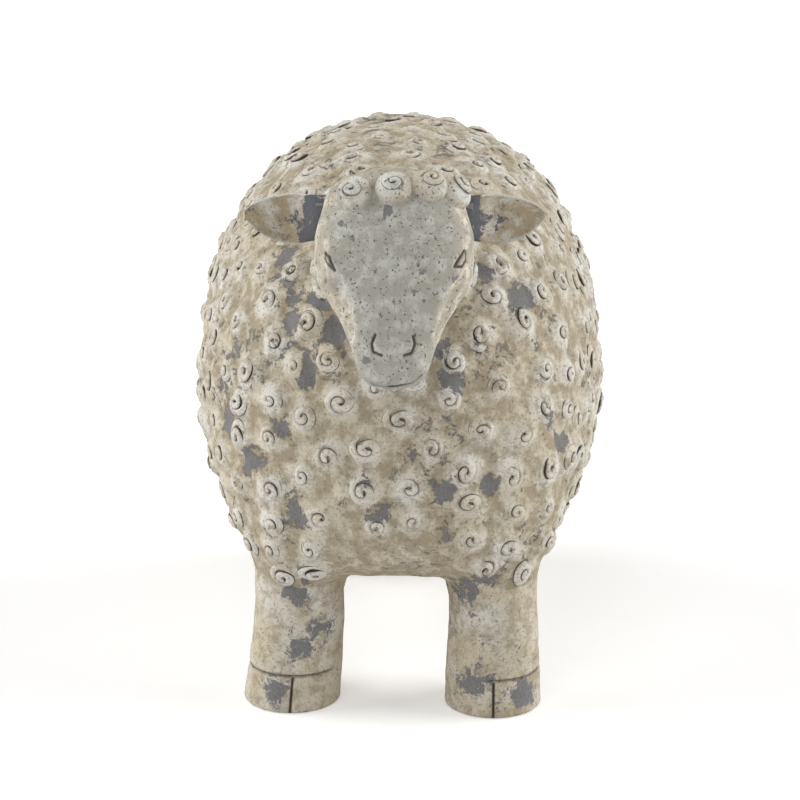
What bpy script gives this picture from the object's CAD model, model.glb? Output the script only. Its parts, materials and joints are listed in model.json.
import json
from collections import namedtuple
from itertools import product
from math import cos, pi, radians, sin, tau

import bpy
import numpy as np
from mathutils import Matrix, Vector
from mathutils.bvhtree import BVHTree


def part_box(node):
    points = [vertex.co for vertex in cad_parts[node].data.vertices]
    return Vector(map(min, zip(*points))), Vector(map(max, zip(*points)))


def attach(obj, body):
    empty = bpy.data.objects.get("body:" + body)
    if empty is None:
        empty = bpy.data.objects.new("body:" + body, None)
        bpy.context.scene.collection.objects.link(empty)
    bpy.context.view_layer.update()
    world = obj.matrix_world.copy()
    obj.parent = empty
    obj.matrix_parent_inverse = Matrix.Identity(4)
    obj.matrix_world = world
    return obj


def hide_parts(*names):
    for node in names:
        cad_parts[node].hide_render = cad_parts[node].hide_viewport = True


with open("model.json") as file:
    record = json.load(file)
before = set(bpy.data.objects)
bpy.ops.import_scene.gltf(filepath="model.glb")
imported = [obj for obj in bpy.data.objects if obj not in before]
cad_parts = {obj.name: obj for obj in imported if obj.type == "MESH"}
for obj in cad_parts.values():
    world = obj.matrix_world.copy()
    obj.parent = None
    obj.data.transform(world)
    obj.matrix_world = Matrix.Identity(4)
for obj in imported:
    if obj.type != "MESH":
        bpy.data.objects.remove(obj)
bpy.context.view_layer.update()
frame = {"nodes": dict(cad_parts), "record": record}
chance = np.random.default_rng(11)

# Camera of the photograph, in metres and in pixels of its 800 by 800 frame
image_side = 800
focal_pixels = 2403.0
camera_height = 0.750
camera_distance = 1.930
camera_pitch = radians(15.85)
camera_yaw = radians(1.0)
camera_place = np.array(
    [camera_distance * sin(camera_yaw), -camera_distance * cos(camera_yaw), camera_height]
)

# Fleece: the barrel of the body, with the same sizes as the solid
body_half_length = 0.260
body_half_width = 0.168
body_middle = 0.025
girth_height = 0.228
back_rise = 0.204
belly_drop = 0.124
width_power = 2.6
back_power = 2.4
belly_power = 5.0
upper_power = 2.25
lower_power = 6.0
lower_taper = 0.22
fleece_cells = 210
fleece_inset = 0.0070
broad_swelling = 0.0018
broad_swelling_size = 0.034
fine_swelling = 0.0010
fine_swelling_size = 0.015
grit_height = 0.0013
grit_size = 0.0065
far_outside = 9.0

# Steel dowels that cross the seam in the middle of the wall, by their places along the body
dowel_half_length = 0.020
dowel_depth = 0.0065
dowel_cover = 0.0056
dowel_cover_width = 0.016
back_dowels = (0.000, 0.114, 0.2075)
belly_dowels = (-0.178, -0.051, 0.076, 0.202)

# Legs: posts that lean from the sole to the joint under the fleece, with a line round part of the hoof
Leg = namedtuple("Leg", "node side y splay line_start")
leg_stance = 0.076
leg_joint_height = 0.084
leg_top = 0.128
sole_radius = 0.038
shin_radius = 0.0348
hoof_height = 0.031
hoof_line_width = 0.0011
cleft_width = 0.0012
groove_depth = 0.0022
hem_blend = 0.038
legs = [
    Leg("front_left_leg", 1, -0.159, 0.0, -0.008),
    Leg("front_right_leg", -1, -0.152, 0.007, -0.034),
    Leg("rear_left_leg", 1, 0.176, 0.0, -0.060),
    Leg("rear_right_leg", -1, 0.176, 0.0, -0.060),
]

# Curls of wool: a lock wound in a flat spiral on a low mound
Curl = namedtuple("Curl", "centre normal radius phase hand")
curl_radius = 0.0128
curl_spacing = 0.0268
curl_lift = 0.0034
curl_turns = 1.75
lowest_curl = 0.128
lowest_scattered_in_view = 0.17
steepest_underside = -0.6
facing_camera = 0.5
curl_steps = 44
curl_around = 12

# Curls of the chest and flanks, at their pixels in the photograph
curls_to_the_left = [
    (448, 399), (341, 402), (296, 367), (263, 270), (310, 325), (278, 343), (252, 373), (498, 386),
    (522, 434), (511, 477), (464, 471), (410, 488), (432, 448), (275, 523), (322, 517), (521, 570),
    (274, 549), (519, 257), (538, 292), (478, 334), (241, 322), (241, 404), (226, 453), (241, 517),
    (565, 373), (575, 452), (543, 538), (485, 566), (470, 538), (413, 521), (229, 372), (558, 332),
]
curls_to_the_right = [
    (328, 456), (303, 476), (367, 448), (363, 490), (330, 361), (273, 400), (305, 416), (270, 437),
    (296, 271), (271, 300), (273, 488), (400, 419), (480, 429), (453, 362), (498, 266), (491, 298),
    (521, 322), (542, 370), (564, 410), (546, 469), (467, 502), (515, 511), (506, 547), (376, 526),
    (311, 548), (284, 575), (314, 571), (241, 435), (241, 481), (252, 541), (572, 497), (557, 284),
]

# Head: sections up the face from the lip, with the same sizes as the solid
HeadSection = namedtuple("HeadSection", "along half_width face jaw")
face_pitch = radians(62)
lip_point = np.array([0.0, -0.290, 0.290])
head_sections = [
    HeadSection(0.002, 0.013, 0.007, 0.011),
    HeadSection(0.012, 0.024, 0.017, 0.021),
    HeadSection(0.030, 0.029, 0.024, 0.028),
    HeadSection(0.052, 0.038, 0.029, 0.040),
    HeadSection(0.078, 0.053, 0.033, 0.054),
    HeadSection(0.112, 0.057, 0.036, 0.060),
    HeadSection(0.145, 0.049, 0.033, 0.052),
    HeadSection(0.162, 0.026, 0.016, 0.028),
]
head_length = 0.166
face_power = 2.6
jaw_power = 2.2
head_middle = 0.092
forelock_radius = 0.0135
forelock_lift = 0.0085
forelock_curl_radius = 0.0095
poll_curl_radius = 0.0105
poll_curl_spacing = 0.024
poll_curl_lift = 0.0026
poll_to_ear = 0.034
neck_start = 0.112
neck_rise = radians(26)
nape_radius = 0.048
neck_reach = 0.125
head_cells = 190
up_face = np.array([0.0, cos(face_pitch), sin(face_pitch)])
out_of_face = np.array([0.0, -sin(face_pitch), cos(face_pitch)])
neck_line = np.array([0.0, cos(neck_rise), -sin(neck_rise)])

# Forelock, eyes, nostrils, mouth and the planes of the face, at their pixels in the photograph
forelock_curls = [(354, 194), (394, 188), (429, 185), (456, 191)]
face_line_depth = 0.0020
face_line_width = 0.0011
face_lines = [
    [(375, 335), (371.5, 344), (373, 352), (381.5, 355.5)],
    [(413.5, 336.5), (415, 344), (411.5, 353), (404, 355.5)],
    [(360, 377), (367, 382), (374, 384.5), (394, 386.5), (409, 384), (422, 375.5)],
    [(325, 253), (328.5, 263), (336, 270.5)],
    [(325, 253), (332, 257.5), (336, 270.5)],
    [(454, 267), (458.5, 258.5), (464.5, 251)],
    [(454, 267), (461.5, 267), (465.5, 260.5), (466, 252.5)],
]
face_ridge_height = 0.0024
face_ridge_width = 0.0055
face_ridges = [
    [(331, 256), (338, 270), (346, 284), (353, 302), (357, 326), (355, 348)],
    [(456, 272), (446, 285), (439, 301), (433, 320), (430, 338)],
]
face_hollow_depth = 0.0045
face_hollow_width = 0.0080
face_hollows = [
    [(338, 288), (345, 312), (350, 334)],
    [(459, 288), (450, 310), (440, 333)],
]
face_knob_height = 0.0016
face_knob_width = 0.0048
face_knobs = [(379, 347), (408, 347), (460, 260), (331, 263)]
face_chip_size = 0.0038
face_chips = [
    (389, 212), (352, 238), (420, 272), (424, 284), (414, 292), (455, 280), (366, 360), (341, 222),
]

# Ears: sections out from the side of the head, and the place of their root
EarSection = namedtuple("EarSection", "out half_height lift back cup")
ear_sections = [
    EarSection(-0.018, 0.0150, 0.002, 0.0150, -0.0105),
    EarSection(0.000, 0.0165, 0.001, 0.0145, -0.0090),
    EarSection(0.020, 0.0185, 0.000, 0.013, 0.006),
    EarSection(0.036, 0.0140, 0.001, 0.010, 0.005),
    EarSection(0.047, 0.0075, 0.003, 0.007, 0.002),
    EarSection(0.0515, 0.0025, 0.0035, 0.004, 0.000),
]
ear_base = np.array([0.0566, -0.229, 0.4020])
ear_rim = 0.004
ear_rows = 60
ear_around = 64

# Tail: a lock with smaller curls
tail_curl_radius = 0.0095
tail_curl_spacing = 0.021

# Patches where the wash has gone from the fleece and the front legs, also at their pixels
fleece_chip_size = 0.0105
curl_chip_size = 0.008
leg_chip_size = 0.0125
fleece_chips = [
    (287, 258), (288, 280), (290, 300), (294, 318), (320, 302), (482, 278), (520, 290), (517, 305),
    (450, 376), (280, 430), (300, 518), (443, 490), (490, 482), (378, 520), (545, 415), (310, 372),
    (252, 455), (468, 585), (482, 578), (384, 122), (450, 150), (300, 165), (336, 330), (440, 352),
    (560, 440), (230, 420), (360, 486),
]
leg_chips = [(301, 594), (303, 646), (318, 634), (470, 588), (468, 682), (525, 693), (275, 690)]


def unit(vectors):
    return vectors / np.linalg.norm(vectors, axis=-1, keepdims=True)


def ease(values, low, high):
    """Goes smoothly from 0 at low to 1 at high."""
    t = np.clip((values - low) / (high - low), 0, 1)
    return t * t * (3 - 2 * t)


def lumps(points, size, seed):
    """Smooth noise from -1 to 1, with lumps about one size across."""
    grid = points / size + 37.1 * seed
    cell = np.floor(grid).astype(np.int64)
    part = grid - cell
    part = part * part * (3 - 2 * part)
    total = np.zeros(len(points))
    for corner in product((0, 1), repeat=3):
        key = cell + corner
        hashed = (key[:, 0] * 73856093) ^ (key[:, 1] * 19349663) ^ (key[:, 2] * 83492791)
        hashed = (hashed ^ (hashed >> 13)) * 1274126177 & 0x7FFFFFFF
        weight = np.prod(np.where(corner, part, 1 - part), axis=1)
        total += weight * (hashed / 0x3FFFFFFF - 1)
    return total


def sight(across, down):
    """Direction in which the camera sees a pixel of the photograph."""
    ahead = np.array(
        [-sin(camera_yaw) * cos(camera_pitch), cos(camera_yaw) * cos(camera_pitch), -sin(camera_pitch)]
    )
    right = np.array([cos(camera_yaw), sin(camera_yaw), 0.0])
    upwards = np.cross(right, ahead)
    middle = image_side / 2
    return unit(ahead * focal_pixels + right * (across - middle) + upwards * (middle - down))


def seen_on(surface, pixels):
    """Points and normals of a surface where the camera sees the pixels."""
    hits = [surface.ray_cast(Vector(camera_place), Vector(sight(*pixel))) for pixel in pixels]
    hits = [hit for hit in hits if hit[0] is not None]
    return np.array([hit[0] for hit in hits]), np.array([hit[1] for hit in hits])


def cube_sphere(cells):
    """Directions spread evenly round a centre, and the quads between them."""
    ticks = np.tan(np.linspace(-pi / 4, pi / 4, cells + 1))
    first, second = np.meshgrid(ticks, ticks, indexing="ij")
    corner = np.arange(first.size).reshape(first.shape)
    patch = np.stack([corner[:-1, :-1], corner[1:, :-1], corner[1:, 1:], corner[:-1, 1:]], -1)
    patch = patch.reshape(-1, 4)
    sides = []
    quads = []
    for axis, sign in product(range(3), (-1, 1)):
        side = np.empty(first.shape + (3,))
        side[..., axis] = sign
        side[..., (axis + 1) % 3] = first * sign
        side[..., (axis + 2) % 3] = second
        quads.append(patch + len(sides) * corner.size)
        sides.append(side.reshape(-1, 3))
    every = np.concatenate(sides)
    _, chosen, place = np.unique(every.round(6), axis=0, return_index=True, return_inverse=True)
    return unit(every[chosen]), place.reshape(-1)[np.concatenate(quads)]


def tube(rings):
    """Points and quads of a skin over closed rings, shut at both ends by a point."""
    count, around = rings.shape[:2]
    points = np.concatenate([rings.reshape(-1, 3), rings[:1].mean(1), rings[-1:].mean(1)])
    index = np.arange(count * around).reshape(count, around)
    turned = np.roll(index, -1, axis=1)
    quads = np.stack([index[:-1], turned[:-1], turned[1:], index[1:]], -1).reshape(-1, 4)
    start = np.stack([np.full(around, count * around), turned[0], index[0]], -1)
    end = np.stack([np.full(around, count * around + 1), index[-1], turned[-1]], -1)
    return points, quads, np.concatenate([start, end])


def face_normals(points, faces):
    corner = points[faces.T]
    return np.cross(corner[2] - corner[0], corner[-1] - corner[1])


def vertex_normals(points, *face_sets):
    total = np.zeros_like(points)
    for faces in face_sets:
        normals = face_normals(points, faces)
        for k in range(faces.shape[1]):
            np.add.at(total, faces[:, k], normals)
    return unit(total)


def new_piece(name, points, face_sets, layers, normals=None):
    """A mesh object from points and faces, with a value per point for each named layer."""
    corners = np.concatenate([faces.reshape(-1) for faces in face_sets])
    sizes = np.concatenate([np.full(len(faces), faces.shape[1]) for faces in face_sets])
    mesh = bpy.data.meshes.new(name)
    mesh.vertices.add(len(points))
    mesh.vertices.foreach_set("co", points.astype(np.float32).reshape(-1))
    mesh.loops.add(len(corners))
    mesh.loops.foreach_set("vertex_index", corners.astype(np.int32))
    mesh.polygons.add(len(sizes))
    mesh.polygons.foreach_set("loop_start", (np.cumsum(sizes) - sizes).astype(np.int32))
    mesh.polygons.foreach_set("use_smooth", np.ones(len(sizes), bool))
    mesh.update(calc_edges=True)
    mesh.validate()
    for layer, values in layers.items():
        attribute = mesh.attributes.new(layer, "FLOAT", "POINT")
        attribute.data.foreach_set("value", values.astype(np.float32))
    if normals is not None:
        mesh.normals_split_custom_set_from_vertices(normals.tolist())
    piece = bpy.data.objects.new(name, mesh)
    bpy.context.scene.collection.objects.link(piece)
    return piece


def dress(piece, material, *nodes):
    """Puts a finish on a piece that stands for CAD nodes."""
    piece.data.materials.append(material)
    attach(piece, "root")
    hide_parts(*nodes)


def smoothed(values, width):
    """Values along a line, evened out over a width in steps."""
    window = np.hanning(width)
    padded = np.pad(values, width // 2, mode="reflect", reflect_type="odd")
    return np.convolve(padded, window / window.sum(), mode="valid")


def swell(t, power):
    return np.clip(1 - np.abs(t) ** power, 1e-9, None) ** (1 / power)


def barrel_fullness(points):
    """Under 1 inside the barrel of the body, and over 1 outside it."""
    t = (points[:, 1] - body_middle) / body_half_length
    beyond = np.abs(t) >= 1
    up = points[:, 2] - girth_height
    above = up > 0
    level = up / np.where(above, back_rise * swell(t, back_power), belly_drop * swell(t, belly_power))
    taper = np.where(above, 1, 1 - lower_taper * np.clip(level, -1, 0) ** 2)
    side = points[:, 0] / (body_half_width * swell(t, width_power) * taper)
    power = np.where(above, upper_power, lower_power)
    fullness = (np.abs(side) ** power + np.abs(level) ** power) ** (1 / power)
    return np.where(beyond, far_outside, fullness)


def surface_along(directions, centre, outside, farthest, steps=22):
    """How far a surface lies from a centre in each direction, found by halving."""
    near = np.zeros(len(directions))
    far = np.full(len(directions), farthest)
    for _ in range(steps):
        middle = (near + far) / 2
        out = outside(centre + directions * middle[:, None], middle) > 0
        far = np.where(out, middle, far)
        near = np.where(out, near, middle)
    return (near + far) / 2


def soft_least(first, second, blend):
    """The lesser of two distances, rounded where they meet."""
    share = np.clip(blend - np.abs(first - second), 0, None) / blend
    return np.minimum(first, second) - share * share * blend / 4


def leg_axis(leg, height):
    """Middle of a leg at a height."""
    out = leg_stance + leg.splay * np.clip(1 - height / leg_joint_height, 0, None)
    return np.stack([leg.side * out, np.full_like(out, leg.y), height], -1)


def leg_radius(height):
    return sole_radius + (shin_radius - sole_radius) * np.clip(height / leg_joint_height, 0, 1)


def leg_clearance(leg, points):
    """Distance outside a leg's post, which ends a little below the hem of the fleece."""
    height = points[:, 2]
    across = np.linalg.norm((points - leg_axis(leg, height))[:, :2], axis=1)
    ends = np.maximum(leg_joint_height - 0.012 - height, height - girth_height)
    return np.maximum(across - (leg_radius(height) - 0.0012), ends)


def fleece_skin(cells):
    """The body's form with the tops of the legs blended in."""
    centre = np.array([0.0, body_middle, girth_height])
    directions, quads = cube_sphere(cells)
    barrel = surface_along(directions, centre, lambda points, _: barrel_fullness(points) - 1, 0.4)
    barrel -= fleece_inset

    def outside(points, reach):
        distance = reach - barrel
        for leg in legs:
            distance = soft_least(distance, leg_clearance(leg, points), hem_blend)
        return distance

    reach = surface_along(directions, centre, outside, 0.4)
    return centre + directions * reach[:, None], quads


def make_curl(centre, normal, hand, size):
    return Curl(centre, unit(normal), size * chance.uniform(0.8, 1.12), chance.uniform(0, tau), hand)


def lifted(curl, rise):
    return curl._replace(centre=curl.centre + curl.normal * rise)


def scatter_curls(points, normals, allowed, taken, spacing, size):
    """Curls in places drawn by chance, at a distance from each other and from the places taken."""
    centres = list(taken)
    curls = []
    order = chance.permutation(len(points))
    for i in order[allowed[order]]:
        gaps = np.linalg.norm(np.reshape(centres, (-1, 3)) - points[i], axis=1)
        if gaps.min(initial=np.inf) > spacing:
            centres.append(points[i])
            curls.append(make_curl(points[i], normals[i], chance.choice((-1, 1)), size))
    return curls


def curl_mounds(points, curls):
    """How far the ground rises under the curls, and how dirty it is round them, both from 0 to 1."""
    raised = np.zeros(len(points))
    dirty = np.zeros(len(points))
    for curl in curls:
        reach = np.linalg.norm(points - curl.centre, axis=1) / curl.radius
        near = np.flatnonzero(reach < 1.9)
        raised[near] = np.maximum(raised[near], 1 - ease(reach[near], 0.5, 1.7))
        dirty[near] = np.maximum(dirty[near], np.exp(-(((reach[near] - 1.25) / 0.25) ** 2)))
    return raised, dirty


def curl_lock(curl, lift):
    """Rings of points along a lock that is wound outwards from the middle of a curl."""
    side = unit(np.cross([0.01, 0.02, 1.0], curl.normal))
    rise = np.cross(curl.normal, side) * curl.hand
    stretch = 1 + 0.13 * sin(3 * curl.phase)
    share = np.linspace(0, 1, curl_steps)
    turn = curl.phase + tau * curl_turns * share
    radius = curl.radius * (0.04 + 0.74 * share)
    width = curl.radius * (0.25 - 0.06 * share) * (1 - 0.8 * ease(share, 0.8, 1.0))
    height = lift * (0.9 + 0.2 * sin(5 * curl.phase)) + curl.radius * (0.08 - 0.16 * share**2)
    height -= radius**2 / (2 * body_half_width)
    outward = np.cos(turn)[:, None] * side * stretch + np.sin(turn)[:, None] * rise / stretch
    path = curl.centre + outward * radius[:, None] + curl.normal * height[:, None]
    round_it = np.linspace(0, tau, curl_around, endpoint=False)
    outer_turn = ease(share, 1 - 1.1 / curl_turns, 1 - 0.85 / curl_turns)
    skirt = outer_turn[:, None] * np.clip(np.cos(round_it), 0, 1)
    across = np.cos(round_it) * (1 + 0.5 * skirt)
    upward = 0.82 * np.sin(round_it) - 0.6 * skirt
    section = across[..., None] * outward[:, None] + upward[..., None] * curl.normal
    rings = path[:, None] + width[:, None, None] * section
    top = np.sin(round_it) + 0.3 * skirt
    return (rings, top) if curl.hand < 0 else (rings[:, ::-1], top[:, ::-1])


def wind_locks(curls, lift):
    """Points, quads, end faces and layers of every lock."""
    points, quads, ends, tops = [], [], [], []
    count = 0
    for curl in curls:
        rings, top = curl_lock(curl, lift)
        lock_points, lock_quads, lock_ends = tube(rings)
        points.append(lock_points)
        quads.append(lock_quads + count)
        ends.append(lock_ends + count)
        tops.append(np.concatenate([top.reshape(-1), [0.6, 0.2]]))
        count += len(lock_points)
    top = np.concatenate(tops)
    layers = {"raised": 0.85 * ease(top, -0.1, 0.9), "groove": 1 - ease(top, 0.1, 0.72)}
    return np.concatenate(points), np.concatenate(quads), np.concatenate(ends), layers


def nearness(points, path, width):
    """From 1 on a path through points in space to 0 some widths away from it."""
    nearest = np.full(len(points), np.inf)
    for start, end in zip(path[:-1], path[1:]):
        step = end - start
        share = np.clip((points - start) @ step / (step @ step), 0, 1)
        nearest = np.minimum(nearest, np.linalg.norm(points - start - share[:, None] * step, axis=1))
    return np.exp(-((nearest / width) ** 2))


def patches(points, centres, width):
    """From 1 at the middle of a patch to 0 some widths away from it."""
    total = np.zeros(len(points))
    for centre in centres:
        total = np.maximum(total, np.exp(-(((points - centre) ** 2).sum(1) / width**2)))
    return total


def fleece_swelling(points):
    """Slow unevenness of the fleece, which the curls ride on."""
    broad = broad_swelling * lumps(points, broad_swelling_size, 1)
    return broad + fine_swelling * lumps(points, fine_swelling_size, 2)


def over_dowels(points):
    """From 1 over a dowel of the seam to 0 away from it."""
    cover = np.zeros(len(points))
    back = (back_dowels, back_rise, back_power)
    belly = (belly_dowels, -belly_drop, belly_power)
    for places, rise, power in (back, belly):
        for y in places:
            t = (y - body_middle) / (body_half_length - dowel_depth)
            z = girth_height + (rise - np.sign(rise) * dowel_depth) * swell(t, power)
            path = np.array([[-dowel_half_length, y, z], [dowel_half_length, y, z]])
            cover = np.maximum(cover, nearness(points, path, dowel_cover_width))
    return cover


def make_fleece(material):
    coarse, coarse_quads = fleece_skin(60)
    coarse_normals = vertex_normals(coarse, coarse_quads)
    surface = BVHTree.FromPolygons(coarse.tolist(), coarse_quads.tolist())
    curls = []
    for hand, pixels in ((1, curls_to_the_left), (-1, curls_to_the_right)):
        for centre, normal in zip(*seen_on(surface, pixels)):
            curls.append(make_curl(centre, normal, hand, curl_radius))
    height = coarse[:, 2]
    in_view = ((camera_place - coarse) * coarse_normals).sum(1) > facing_camera
    allowed = (height >= lowest_curl) & (coarse_normals[:, 2] >= steepest_underside)
    allowed &= ~((height < lowest_scattered_in_view) & in_view)
    taken = [curl.centre for curl in curls]
    curls += scatter_curls(coarse, coarse_normals, allowed, taken, curl_spacing, curl_radius)

    points, quads = fleece_skin(fleece_cells)
    normals = vertex_normals(points, quads)
    raised, dirty = curl_mounds(points, curls)
    chip_places = seen_on(surface, fleece_chips)[0]
    chips = patches(points, chip_places, fleece_chip_size)
    hem = ease(points[:, 2], 0.100, 0.135)
    grit = grit_height * lumps(points, grit_size, 3)
    lift = curl_lift * raised + fleece_swelling(points) + grit * (1 - 0.6 * raised)
    lift = np.maximum(lift * hem, dowel_cover * over_dowels(points))
    points = points + normals * lift[:, None]
    normals = vertex_normals(points, quads)
    rises = fleece_swelling(np.array([curl.centre for curl in curls]))
    curls = [lifted(curl, rise) for curl, rise in zip(curls, rises)]
    sideways = points[quads].mean(1)[:, 0]
    halves = (("left_fleece", "left_body_shell", 1), ("right_fleece", "right_body_shell", -1))
    for name, shell, side in halves:
        used, corners = np.unique(quads[sideways * side > 0], return_inverse=True)
        skin = corners.reshape(-1, 4)
        own = [curl for curl in curls if curl.centre[0] * side > 0]
        lock_points, lock_quads, lock_ends, layers = wind_locks(own, curl_lift)
        lock_normals = vertex_normals(lock_points, lock_quads, lock_ends)
        layers["raised"] = np.concatenate([(raised * hem)[used] * 0.7, layers["raised"]])
        layers["groove"] = np.concatenate([(dirty * hem)[used] * 0.15, layers["groove"]])
        lock_chips = patches(lock_points, chip_places, curl_chip_size)
        layers["chips"] = np.concatenate([chips[used], lock_chips])
        piece = new_piece(
            name,
            np.concatenate([points[used], lock_points]),
            [skin, lock_quads + len(used), lock_ends + len(used)],
            layers,
            np.concatenate([normals[used], lock_normals]),
        )
        dress(piece, material, shell)


def smooth_table(values, along):
    """A section's size along the head, rounded off to nothing at both ends."""
    ends = [0.0, *along, head_length]
    fine = np.linspace(0, head_length, 331)
    rough = np.interp(fine, ends, [0.0, *values, 0.0])
    close = np.minimum(fine, head_length - fine)
    return fine, np.clip(smoothed(rough, 41), 0, None) * np.sqrt(np.clip(close / 0.006, 0, 1))


def head_place(points):
    """Sideways, up the face and out of the face, for points in space."""
    offset = points - lip_point
    return offset[:, 0], offset @ up_face, offset @ out_of_face


def head_fullness(points):
    side, along, out = head_place(points)
    columns = list(zip(*head_sections))
    sizes = [np.interp(along, *smooth_table(values, columns[0])) + 1e-6 for values in columns[1:]]
    front = out > 0
    power = np.where(front, face_power, jaw_power)
    depth = np.where(front, sizes[1], sizes[2])
    beyond = (along < 0) | (along > head_length)
    fullness = (np.abs(side / sizes[0]) ** power + np.abs(out / depth) ** power) ** (1 / power)
    return np.where(beyond, far_outside, fullness)


def head_skin(cells):
    centre = lip_point + up_face * head_middle - out_of_face * 0.008
    directions, quads = cube_sphere(cells)
    skull = surface_along(directions, centre, lambda points, _: head_fullness(points) - 1, 0.2)
    nape_start = lip_point + up_face * neck_start + neck_line * 0.02

    def outside(points, reach):
        offset = points - nape_start
        share = np.clip(offset @ neck_line, 0, neck_reach)
        nape = np.linalg.norm(offset - share[:, None] * neck_line, axis=1) - nape_radius
        return soft_least(reach - skull, nape, 0.02)

    reach = surface_along(directions, centre, outside, 0.3)
    return centre + directions * reach[:, None], quads


def make_head(material):
    points, quads = head_skin(head_cells)
    normals = vertex_normals(points, quads)
    surface = BVHTree.FromPolygons(points.tolist(), quads.tolist())
    tufts = list(zip(*seen_on(surface, forelock_curls)))
    knobs = np.zeros(len(points))
    for centre, _ in tufts:
        gap = np.linalg.norm(points - centre, axis=1) / forelock_radius
        knobs = np.maximum(knobs, np.sqrt(np.clip(1 - gap**2, 0, 1)))
    curls = [
        Curl(centre + unit(normal) * forelock_lift, unit(normal), forelock_curl_radius, phase, hand)
        for (centre, normal), phase, hand in zip(tufts, (0.4, 2.6, 4.4, 1.2), (1, -1, 1, -1))
    ]
    _, along, out = head_place(points)
    from_ear = np.linalg.norm(np.abs(points * [1, 0, 0]) + points * [0, 1, 1] - ear_base, axis=1)
    woolly = (along > 0.085) & (out < -0.004) & (barrel_fullness(points) > 1.03) & (from_ear > poll_to_ear)
    taken = [centre for centre, _ in tufts]
    anywhere = np.ones(woolly.sum(), bool)
    poll_curls = scatter_curls(
        points[woolly], normals[woolly], anywhere, taken, poll_curl_spacing, poll_curl_radius
    )
    poll_curls = [lifted(curl, poll_curl_lift) for curl in poll_curls]
    raised, _ = curl_mounds(points, poll_curls)
    lines = np.zeros(len(points))
    for pixels in face_lines:
        lines = np.maximum(lines, nearness(points, seen_on(surface, pixels)[0], face_line_width))
    lift = forelock_lift * knobs - face_line_depth * lines + poll_curl_lift * raised
    for pixels in face_ridges:
        lift += face_ridge_height * nearness(points, seen_on(surface, pixels)[0], face_ridge_width)
    for pixels in face_hollows:
        lift -= face_hollow_depth * nearness(points, seen_on(surface, pixels)[0], face_hollow_width)
    lift += face_knob_height * patches(points, seen_on(surface, face_knobs)[0], face_knob_width)
    lift += 0.0005 * lumps(points, 0.016, 5) + 0.0002 * lumps(points, 0.005, 6)
    wool = np.maximum(ease(along, 0.132, 0.142), ease(np.maximum(knobs, raised), 0.1, 0.5))
    warm = ease(np.abs(normals[:, 0]), 0.45, 0.8) * ease(along, 0.02, 0.05)
    chips = patches(points, seen_on(surface, face_chips)[0], face_chip_size)
    points = points + normals * lift[:, None]
    lock_points, lock_quads, lock_ends, layers = wind_locks(curls + poll_curls, 0.0)
    plain = np.zeros(len(lock_points))
    layers["raised"] = np.concatenate([np.maximum(knobs, 0.7 * raised), layers["raised"]])
    layers["groove"] = np.concatenate([lines, layers["groove"]])
    layers["warm"] = np.concatenate([warm, plain])
    layers["wool"] = np.concatenate([wool, plain + 1])
    layers["chips"] = np.concatenate([chips, plain])
    every = np.concatenate([points, lock_points])
    faces = [quads, lock_quads + len(points), lock_ends + len(points)]
    dress(new_piece("sheep_head", every, faces, layers), material, "head")


def make_ear(name, node, side, material):
    """A cupped leaf that grows out of the side of the head."""
    columns = [np.array(column) for column in zip(*ear_sections)]
    out = np.linspace(columns[0][0], columns[0][-1], ear_rows)
    half_height, lift, back, cup = (
        smoothed(np.interp(out, columns[0], column), 9) for column in columns[1:]
    )
    turn = np.linspace(0, tau, ear_around, endpoint=False)
    rear = np.cos(turn) >= 0
    hollow = -cup[:, None] * np.cos(turn)
    depth = np.where(rear, ear_rim + (back - ear_rim)[:, None] * np.cos(turn), hollow)
    rings = np.empty((ear_rows, ear_around, 3))
    rings[..., 0] = out[:, None]
    rings[..., 1] = depth
    rings[..., 2] = lift[:, None] + half_height[:, None] * np.sin(turn)
    points, quads, ends = tube(rings + ear_base)
    points = points * [side, 1, 1]
    if side < 0:
        quads, ends = quads[:, ::-1], ends[:, ::-1]
    normals = vertex_normals(points, quads, ends)
    points = points + normals * (0.0005 * lumps(points, 0.012, 8))[:, None]
    inside = ease(-normals[:, 1], 0.5, 0.9)
    ragged = np.abs(points[:, 0]) + 0.006 * lumps(points, 0.014, 12)
    root = 1 - ease(ragged, ear_base[0], ear_base[0] + 0.014)
    layers = {"raised": 1 - inside, "groove": np.zeros(len(points)), "root": root, "inside": inside}
    dress(new_piece(name, points, [quads, ends], layers), material, node)


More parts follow.
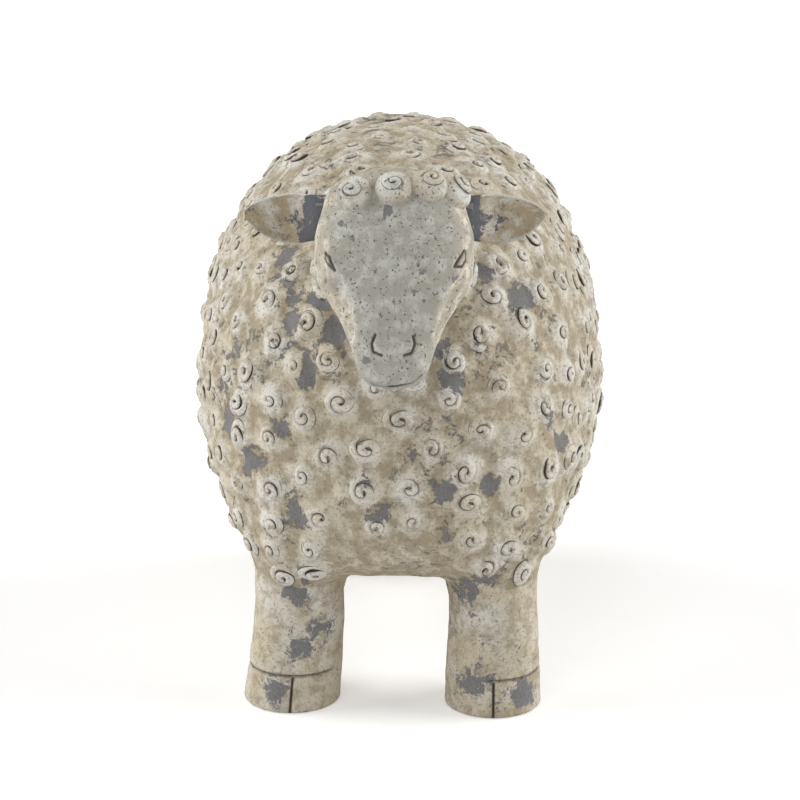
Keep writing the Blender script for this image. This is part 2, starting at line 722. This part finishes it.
def make_leg(leg, material):
    """A post with a hoof line and a cleft in front, whose top is hidden in the fleece."""
    rows = np.concatenate([np.linspace(0.0, 0.003, 5)[:-1], np.linspace(0.003, leg_top, 84)])
    turn = np.linspace(0, tau, 160, endpoint=False)
    rounding = 0.0022 * (1 - np.sqrt(np.clip(1 - (1 - np.clip(rows / 0.003, 0, 1)) ** 2, 0, 1)))
    radius = leg_radius(rows) - rounding
    ring = np.stack([np.cos(turn), np.sin(turn), np.zeros_like(turn)], -1)
    rings = leg_axis(leg, rows)[:, None] + radius[:, None, None] * ring
    sole_middle = rings[0].mean(0)
    caps = np.stack([sole_middle + (rings[0] - sole_middle) * share for share in (0.3, 0.65, 0.9)])
    points, quads, ends = tube(np.concatenate([caps, rings]))
    normals = vertex_normals(points, quads, ends)
    height = points[:, 2]
    out = points - leg_axis(leg, height)
    front = -out[:, 1] / np.maximum(np.linalg.norm(out[:, :2], axis=1), 1e-6)
    line = np.exp(-(((height - hoof_height) / hoof_line_width) ** 2)) * ease(front, -0.6, 0.1)
    line = line * ease(out[:, 0] * leg.side, leg.line_start, leg.line_start + 0.006)
    on_hoof = (front > 0) & (height < hoof_height - 0.002) & (height > 0)
    cleft = np.exp(-((out[:, 0] / cleft_width) ** 2)) * on_hoof
    groove = np.maximum(line * 0.8, cleft)
    groove[-2:] = 0
    lift = 0.0011 * lumps(points, 0.03, 9) + 0.0003 * lumps(points, 0.008, 10) - groove_depth * groove
    wall = ease(height, 0.0, 0.004)
    points = points + normals * (lift * wall)[:, None]
    seen = leg_chips if leg.y < 0 else []
    own_chips = [pixel for pixel in seen if (pixel[0] - image_side / 2) * leg.side > 0]
    surface = BVHTree.FromPolygons(points.tolist(), quads.tolist())
    chips = patches(points, seen_on(surface, own_chips)[0], leg_chip_size)
    layers = {"raised": np.full(len(points), 0.5), "groove": groove, "chips": chips}
    dress(new_piece(leg.node + "_post", points, [quads, ends], layers), material, leg.node)


def make_tail(material):
    """A lock of wool that hangs on the rump."""
    low, high = (np.array(corner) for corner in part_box("tail"))
    centre = (low + high) / 2
    half = (high - low) / 2
    directions, quads = cube_sphere(48)
    roundness = (np.abs(directions) ** 3).sum(1, keepdims=True) ** (-1 / 3)
    points = centre + directions * half * roundness * 0.97
    normals = vertex_normals(points, quads)
    curls = scatter_curls(points, normals, normals[:, 1] > -0.2, [], tail_curl_spacing, tail_curl_radius)
    raised, dirty = curl_mounds(points, curls)
    points = points + normals * (0.002 * raised - 0.004)[:, None]
    lock_points, lock_quads, lock_ends, layers = wind_locks(curls, -0.002)
    layers["raised"] = np.concatenate([raised * 0.7, layers["raised"]])
    layers["groove"] = np.concatenate([dirty * 0.4, layers["groove"]])
    layers["chips"] = np.zeros(len(points) + len(lock_points))
    every = np.concatenate([points, lock_points])
    faces = [quads, lock_quads + len(points), lock_ends + len(points)]
    dress(new_piece("tail_lock", every, faces, layers), material, "tail")


def colour(red, green, blue):
    """A colour as a screen shows it, from 0 to 255, in the shader's own terms."""
    shown = np.array([red, green, blue]) / 255
    linear = np.where(shown <= 0.04045, shown / 12.92, ((shown + 0.055) / 1.055) ** 2.4)
    return (*linear.tolist(), 1.0)


def node(tree, kind, inputs=(), **settings):
    """A shader node, with its inputs set to values or joined to other nodes."""
    made = tree.nodes.new(kind)
    for name, value in settings.items():
        setattr(made, name, value)
    for name, value in dict(inputs).items():
        if isinstance(value, bpy.types.NodeSocket):
            tree.links.new(value, made.inputs[name])
        else:
            made.inputs[name].default_value = value
    return made


def noise(tree, place, scale, detail=3.0, roughness=0.55, distortion=0.0):
    inputs = {
        "Vector": place, "Scale": scale, "Detail": detail,
        "Roughness": roughness, "Distortion": distortion,
    }
    return node(tree, "ShaderNodeTexNoise", inputs).outputs["Fac"]


def maths(tree, operation, first, second):
    return node(tree, "ShaderNodeMath", {0: first, 1: second}, operation=operation).outputs[0]


def soft_step(tree, value, low, high):
    inputs = {"Value": value, "From Min": low, "From Max": high}
    return node(tree, "ShaderNodeMapRange", inputs, interpolation_type="SMOOTHSTEP").outputs["Result"]


def mixed(tree, share, first, second):
    """A colour between two others."""
    return node(tree, "ShaderNodeMix", {0: share, 6: first, 7: second}, data_type="RGBA").outputs[2]


def layer(tree, name):
    return node(tree, "ShaderNodeAttribute", attribute_name=name).outputs["Fac"]


def worn_limewash_group():
    """Limewash over cement: paler on what stands up, dirty in what lies low, chipped in patches."""
    tree = bpy.data.node_groups.new("worn_limewash", "ShaderNodeTree")
    for name in ("Wash", "Pale", "Dirt", "Cement", "Line"):
        tree.interface.new_socket(name, in_out="INPUT", socket_type="NodeSocketColor")
    for name in ("Raised", "Groove", "Chips", "Specks"):
        tree.interface.new_socket(name, in_out="INPUT", socket_type="NodeSocketFloat")
    tree.interface.new_socket("Colour", in_out="OUTPUT", socket_type="NodeSocketColor")
    tree.interface.new_socket("Roughness", in_out="OUTPUT", socket_type="NodeSocketFloat")
    tree.interface.new_socket("Height", in_out="OUTPUT", socket_type="NodeSocketFloat")
    given = node(tree, "NodeGroupInput").outputs
    place = node(tree, "ShaderNodeTexCoord").outputs["Object"]

    blotch = noise(tree, place, 24.0, 3.0)
    mottle = noise(tree, place, 95.0, 5.0, 0.62)
    grain = noise(tree, place, 520.0, 3.0, 0.6)
    flakes = noise(tree, place, 78.0, 10.0, 0.78, 0.3)
    worn = noise(tree, place, 13.0, 2.0)
    specks = noise(tree, place, 420.0, 3.0, 0.65)
    low = maths(tree, "SUBTRACT", 1.0, given["Raised"])

    high = maths(tree, "ADD", maths(tree, "MULTIPLY", given["Raised"], 0.32), blotch)
    pale = soft_step(tree, high, 0.5, 0.86)
    tone = mixed(tree, pale, given["Wash"], given["Pale"])
    dirt = soft_step(tree, maths(tree, "ADD", maths(tree, "MULTIPLY", low, 0.16), mottle), 0.48, 0.74)
    tone = mixed(tree, maths(tree, "MULTIPLY", dirt, 0.75), tone, given["Dirt"])
    dust = maths(tree, "MULTIPLY", soft_step(tree, grain, 0.5, 0.7), 0.55)
    tone = mixed(tree, dust, tone, given["Dirt"])
    dots = maths(tree, "MULTIPLY", soft_step(tree, specks, 0.595, 0.645), given["Specks"])
    tone = mixed(tree, dots, tone, given["Line"])
    bare = maths(tree, "ADD", maths(tree, "MULTIPLY", low, 0.06), flakes)
    bare = maths(tree, "ADD", bare, maths(tree, "MULTIPLY", maths(tree, "SUBTRACT", worn, 0.5), 0.3))
    bare = soft_step(tree, maths(tree, "ADD", bare, given["Chips"]), 0.635, 0.668)
    cement = mixed(tree, soft_step(tree, grain, 0.35, 0.65), given["Cement"], given["Line"])
    cement = mixed(tree, 0.75, cement, given["Cement"])
    tone = mixed(tree, bare, tone, cement)
    groove = soft_step(tree, given["Groove"], 0.1, 0.75)
    line = maths(tree, "MULTIPLY", groove, soft_step(tree, mottle, 0.15, 0.45))
    tone = mixed(tree, maths(tree, "MULTIPLY", line, 0.95), tone, given["Line"])

    fine = maths(tree, "MULTIPLY", grain, 0.4)
    height = maths(tree, "ADD", maths(tree, "MULTIPLY", mottle, 0.5), fine)
    height = maths(tree, "SUBTRACT", height, maths(tree, "MULTIPLY", bare, 0.35))
    rough = maths(tree, "SUBTRACT", 0.93, maths(tree, "MULTIPLY", bare, 0.12))
    node(tree, "NodeGroupOutput", {"Colour": tone, "Roughness": rough, "Height": height})
    return tree


def finish_from(name, group, inputs, bump):
    """A material that takes its colour, roughness and grain from the worn limewash."""
    material = bpy.data.materials.new(name)
    material.use_nodes = True
    tree = material.node_tree
    tree.nodes.clear()
    wash = node(tree, "ShaderNodeGroup", inputs(tree), node_tree=group)
    relief = node(
        tree, "ShaderNodeBump", {"Height": wash.outputs["Height"], "Strength": bump, "Distance": 0.001}
    )
    shader = node(
        tree,
        "ShaderNodeBsdfPrincipled",
        {
            "Base Color": wash.outputs["Colour"],
            "Roughness": wash.outputs["Roughness"],
            "Normal": relief.outputs["Normal"],
            "Specular IOR Level": 0.25,
        },
    )
    node(tree, "ShaderNodeOutputMaterial", {"Surface": shader.outputs["BSDF"]})
    return material


cement_grey = colour(130, 130, 129)
line_brown = colour(66, 55, 42)


def fleece_inputs(tree):
    chips = maths(tree, "MULTIPLY", layer(tree, "chips"), 0.2)
    return {
        "Wash": colour(207, 198, 179), "Pale": colour(222, 219, 210), "Dirt": colour(152, 137, 112),
        "Cement": cement_grey, "Line": line_brown, "Raised": layer(tree, "raised"),
        "Groove": layer(tree, "groove"), "Chips": chips, "Specks": 0.45,
    }


def head_inputs(tree):
    wash = mixed(tree, layer(tree, "warm"), colour(198, 198, 190), colour(226, 216, 197))
    wash = mixed(tree, layer(tree, "wool"), wash, colour(204, 194, 172))
    chips = maths(tree, "SUBTRACT", maths(tree, "MULTIPLY", layer(tree, "chips"), 0.2), 0.06)
    return {
        "Wash": wash, "Pale": colour(218, 218, 212), "Dirt": colour(158, 153, 140),
        "Cement": cement_grey, "Line": colour(92, 88, 82), "Raised": layer(tree, "raised"),
        "Groove": layer(tree, "groove"), "Chips": chips, "Specks": 0.9,
    }


def ear_inputs(tree):
    dirt = mixed(tree, layer(tree, "inside"), colour(166, 160, 147), colour(160, 138, 104))
    chips = maths(tree, "MULTIPLY", layer(tree, "root"), 0.22)
    return {
        "Wash": colour(204, 201, 190), "Pale": colour(214, 213, 206), "Dirt": dirt,
        "Cement": colour(104, 106, 112), "Line": line_brown, "Raised": layer(tree, "raised"),
        "Groove": layer(tree, "groove"), "Chips": chips, "Specks": 0.4,
    }


def leg_inputs(tree):
    chips = maths(tree, "MULTIPLY", layer(tree, "chips"), 0.22)
    return {
        "Wash": colour(201, 190, 168), "Pale": colour(218, 216, 208), "Dirt": colour(158, 144, 119),
        "Cement": colour(130, 130, 130), "Line": line_brown, "Raised": layer(tree, "raised"),
        "Groove": layer(tree, "groove"), "Chips": chips, "Specks": 0.5,
    }


def plain_material(name, first, second, scale, roughness, metallic):
    """A finish for the pieces inside: two mottled colours with a fine grain."""
    material = bpy.data.materials.new(name)
    material.use_nodes = True
    tree = material.node_tree
    tree.nodes.clear()
    place = node(tree, "ShaderNodeTexCoord").outputs["Object"]
    mottle = noise(tree, place, scale, 6.0, 0.65)
    tone = mixed(tree, soft_step(tree, mottle, 0.35, 0.7), first, second)
    relief = node(tree, "ShaderNodeBump", {"Height": mottle, "Strength": 0.3, "Distance": 0.0008})
    shader = node(
        tree,
        "ShaderNodeBsdfPrincipled",
        {
            "Base Color": tone,
            "Roughness": roughness,
            "Metallic": metallic,
            "Normal": relief.outputs["Normal"],
        },
    )
    node(tree, "ShaderNodeOutputMaterial", {"Surface": shader.outputs["BSDF"]})
    return material


def dress_inner_pieces():
    greys = (colour(120, 121, 124), colour(150, 148, 142))
    mortar = plain_material("bare_mortar", *greys, 260.0, 0.92, 0.0)
    steels = (colour(150, 146, 140), colour(118, 92, 70))
    steel = plain_material("dull_steel", *steels, 180.0, 0.5, 1.0)
    finishes = {"bare_cement": mortar, "steel_rod": steel}
    for part in frame["record"]["subparts"]:
        finish = finishes.get(part["material_slot"])
        if finish is not None:
            mesh = frame["nodes"][part["node"]].data
            mesh.materials.clear()
            mesh.materials.append(finish)


def make_floor():
    """A pale floor that takes the shadow and shows white to the camera."""
    bpy.ops.mesh.primitive_grid_add(x_subdivisions=8, y_subdivisions=8, size=24)
    floor = bpy.context.object
    floor.name = "floor"
    material = bpy.data.materials.new("pale_floor")
    material.use_nodes = True
    tree = material.node_tree
    tree.nodes.clear()
    shader = node(
        tree,
        "ShaderNodeBsdfPrincipled",
        {"Base Color": (0.9, 0.9, 0.9, 1), "Roughness": 0.9, "Emission Color": (1, 1, 1, 1)},
    )
    seen = node(tree, "ShaderNodeLightPath").outputs["Is Camera Ray"]
    tree.links.new(maths(tree, "MULTIPLY", seen, 0.3), shader.inputs["Emission Strength"])
    node(tree, "ShaderNodeOutputMaterial", {"Surface": shader.outputs["BSDF"]})
    floor.data.materials.append(material)


def add_sun(name, strength, height, heading, softness):
    """A soft lamp far away, whose light comes from a height above the floor and a heading round it."""
    lamp = bpy.data.lights.new(name, "SUN")
    lamp.energy = strength
    lamp.angle = radians(softness)
    sun = bpy.data.objects.new(name, lamp)
    sun.rotation_euler = (radians(90 - height), 0, radians(heading))
    bpy.context.scene.collection.objects.link(sun)


def make_light():
    world = bpy.data.worlds.new("studio")
    bpy.context.scene.world = world
    world.use_nodes = True
    backdrop = world.node_tree.nodes["Background"]
    backdrop.inputs["Color"].default_value = (1, 1, 1, 1)
    backdrop.inputs["Strength"].default_value = 0.34
    add_sun("front_light", 0.45, 45, -18, 30)
    add_sun("left_light", 2.1, 25, -97, 50)
    add_sun("right_light", 2.15, 25, 97, 50)


def make_camera():
    lens = bpy.data.cameras.new("photo_camera")
    lens.sensor_fit = "HORIZONTAL"
    lens.sensor_width = 36.0
    lens.lens = focal_pixels / image_side * lens.sensor_width
    camera = bpy.data.objects.new("photo_camera", lens)
    camera.location = camera_place
    camera.rotation_euler = (pi / 2 - camera_pitch, 0, camera_yaw)
    bpy.context.scene.collection.objects.link(camera)
    bpy.context.scene.camera = camera


make_camera()
make_floor()
make_light()
bpy.context.scene.view_settings.view_transform = "Standard"

worn_limewash = worn_limewash_group()
fleece_finish = finish_from("limewashed_fleece", worn_limewash, fleece_inputs, 0.9)
head_finish = finish_from("limewashed_face", worn_limewash, head_inputs, 0.4)
ear_finish = finish_from("limewashed_ear", worn_limewash, ear_inputs, 0.3)
leg_finish = finish_from("limewashed_leg", worn_limewash, leg_inputs, 0.35)
make_fleece(fleece_finish)
make_head(head_finish)
make_ear("left_ear_leaf", "left_ear", 1, ear_finish)
make_ear("right_ear_leaf", "right_ear", -1, ear_finish)
for leg in legs:
    make_leg(leg, leg_finish)
make_tail(fleece_finish)
dress_inner_pieces()
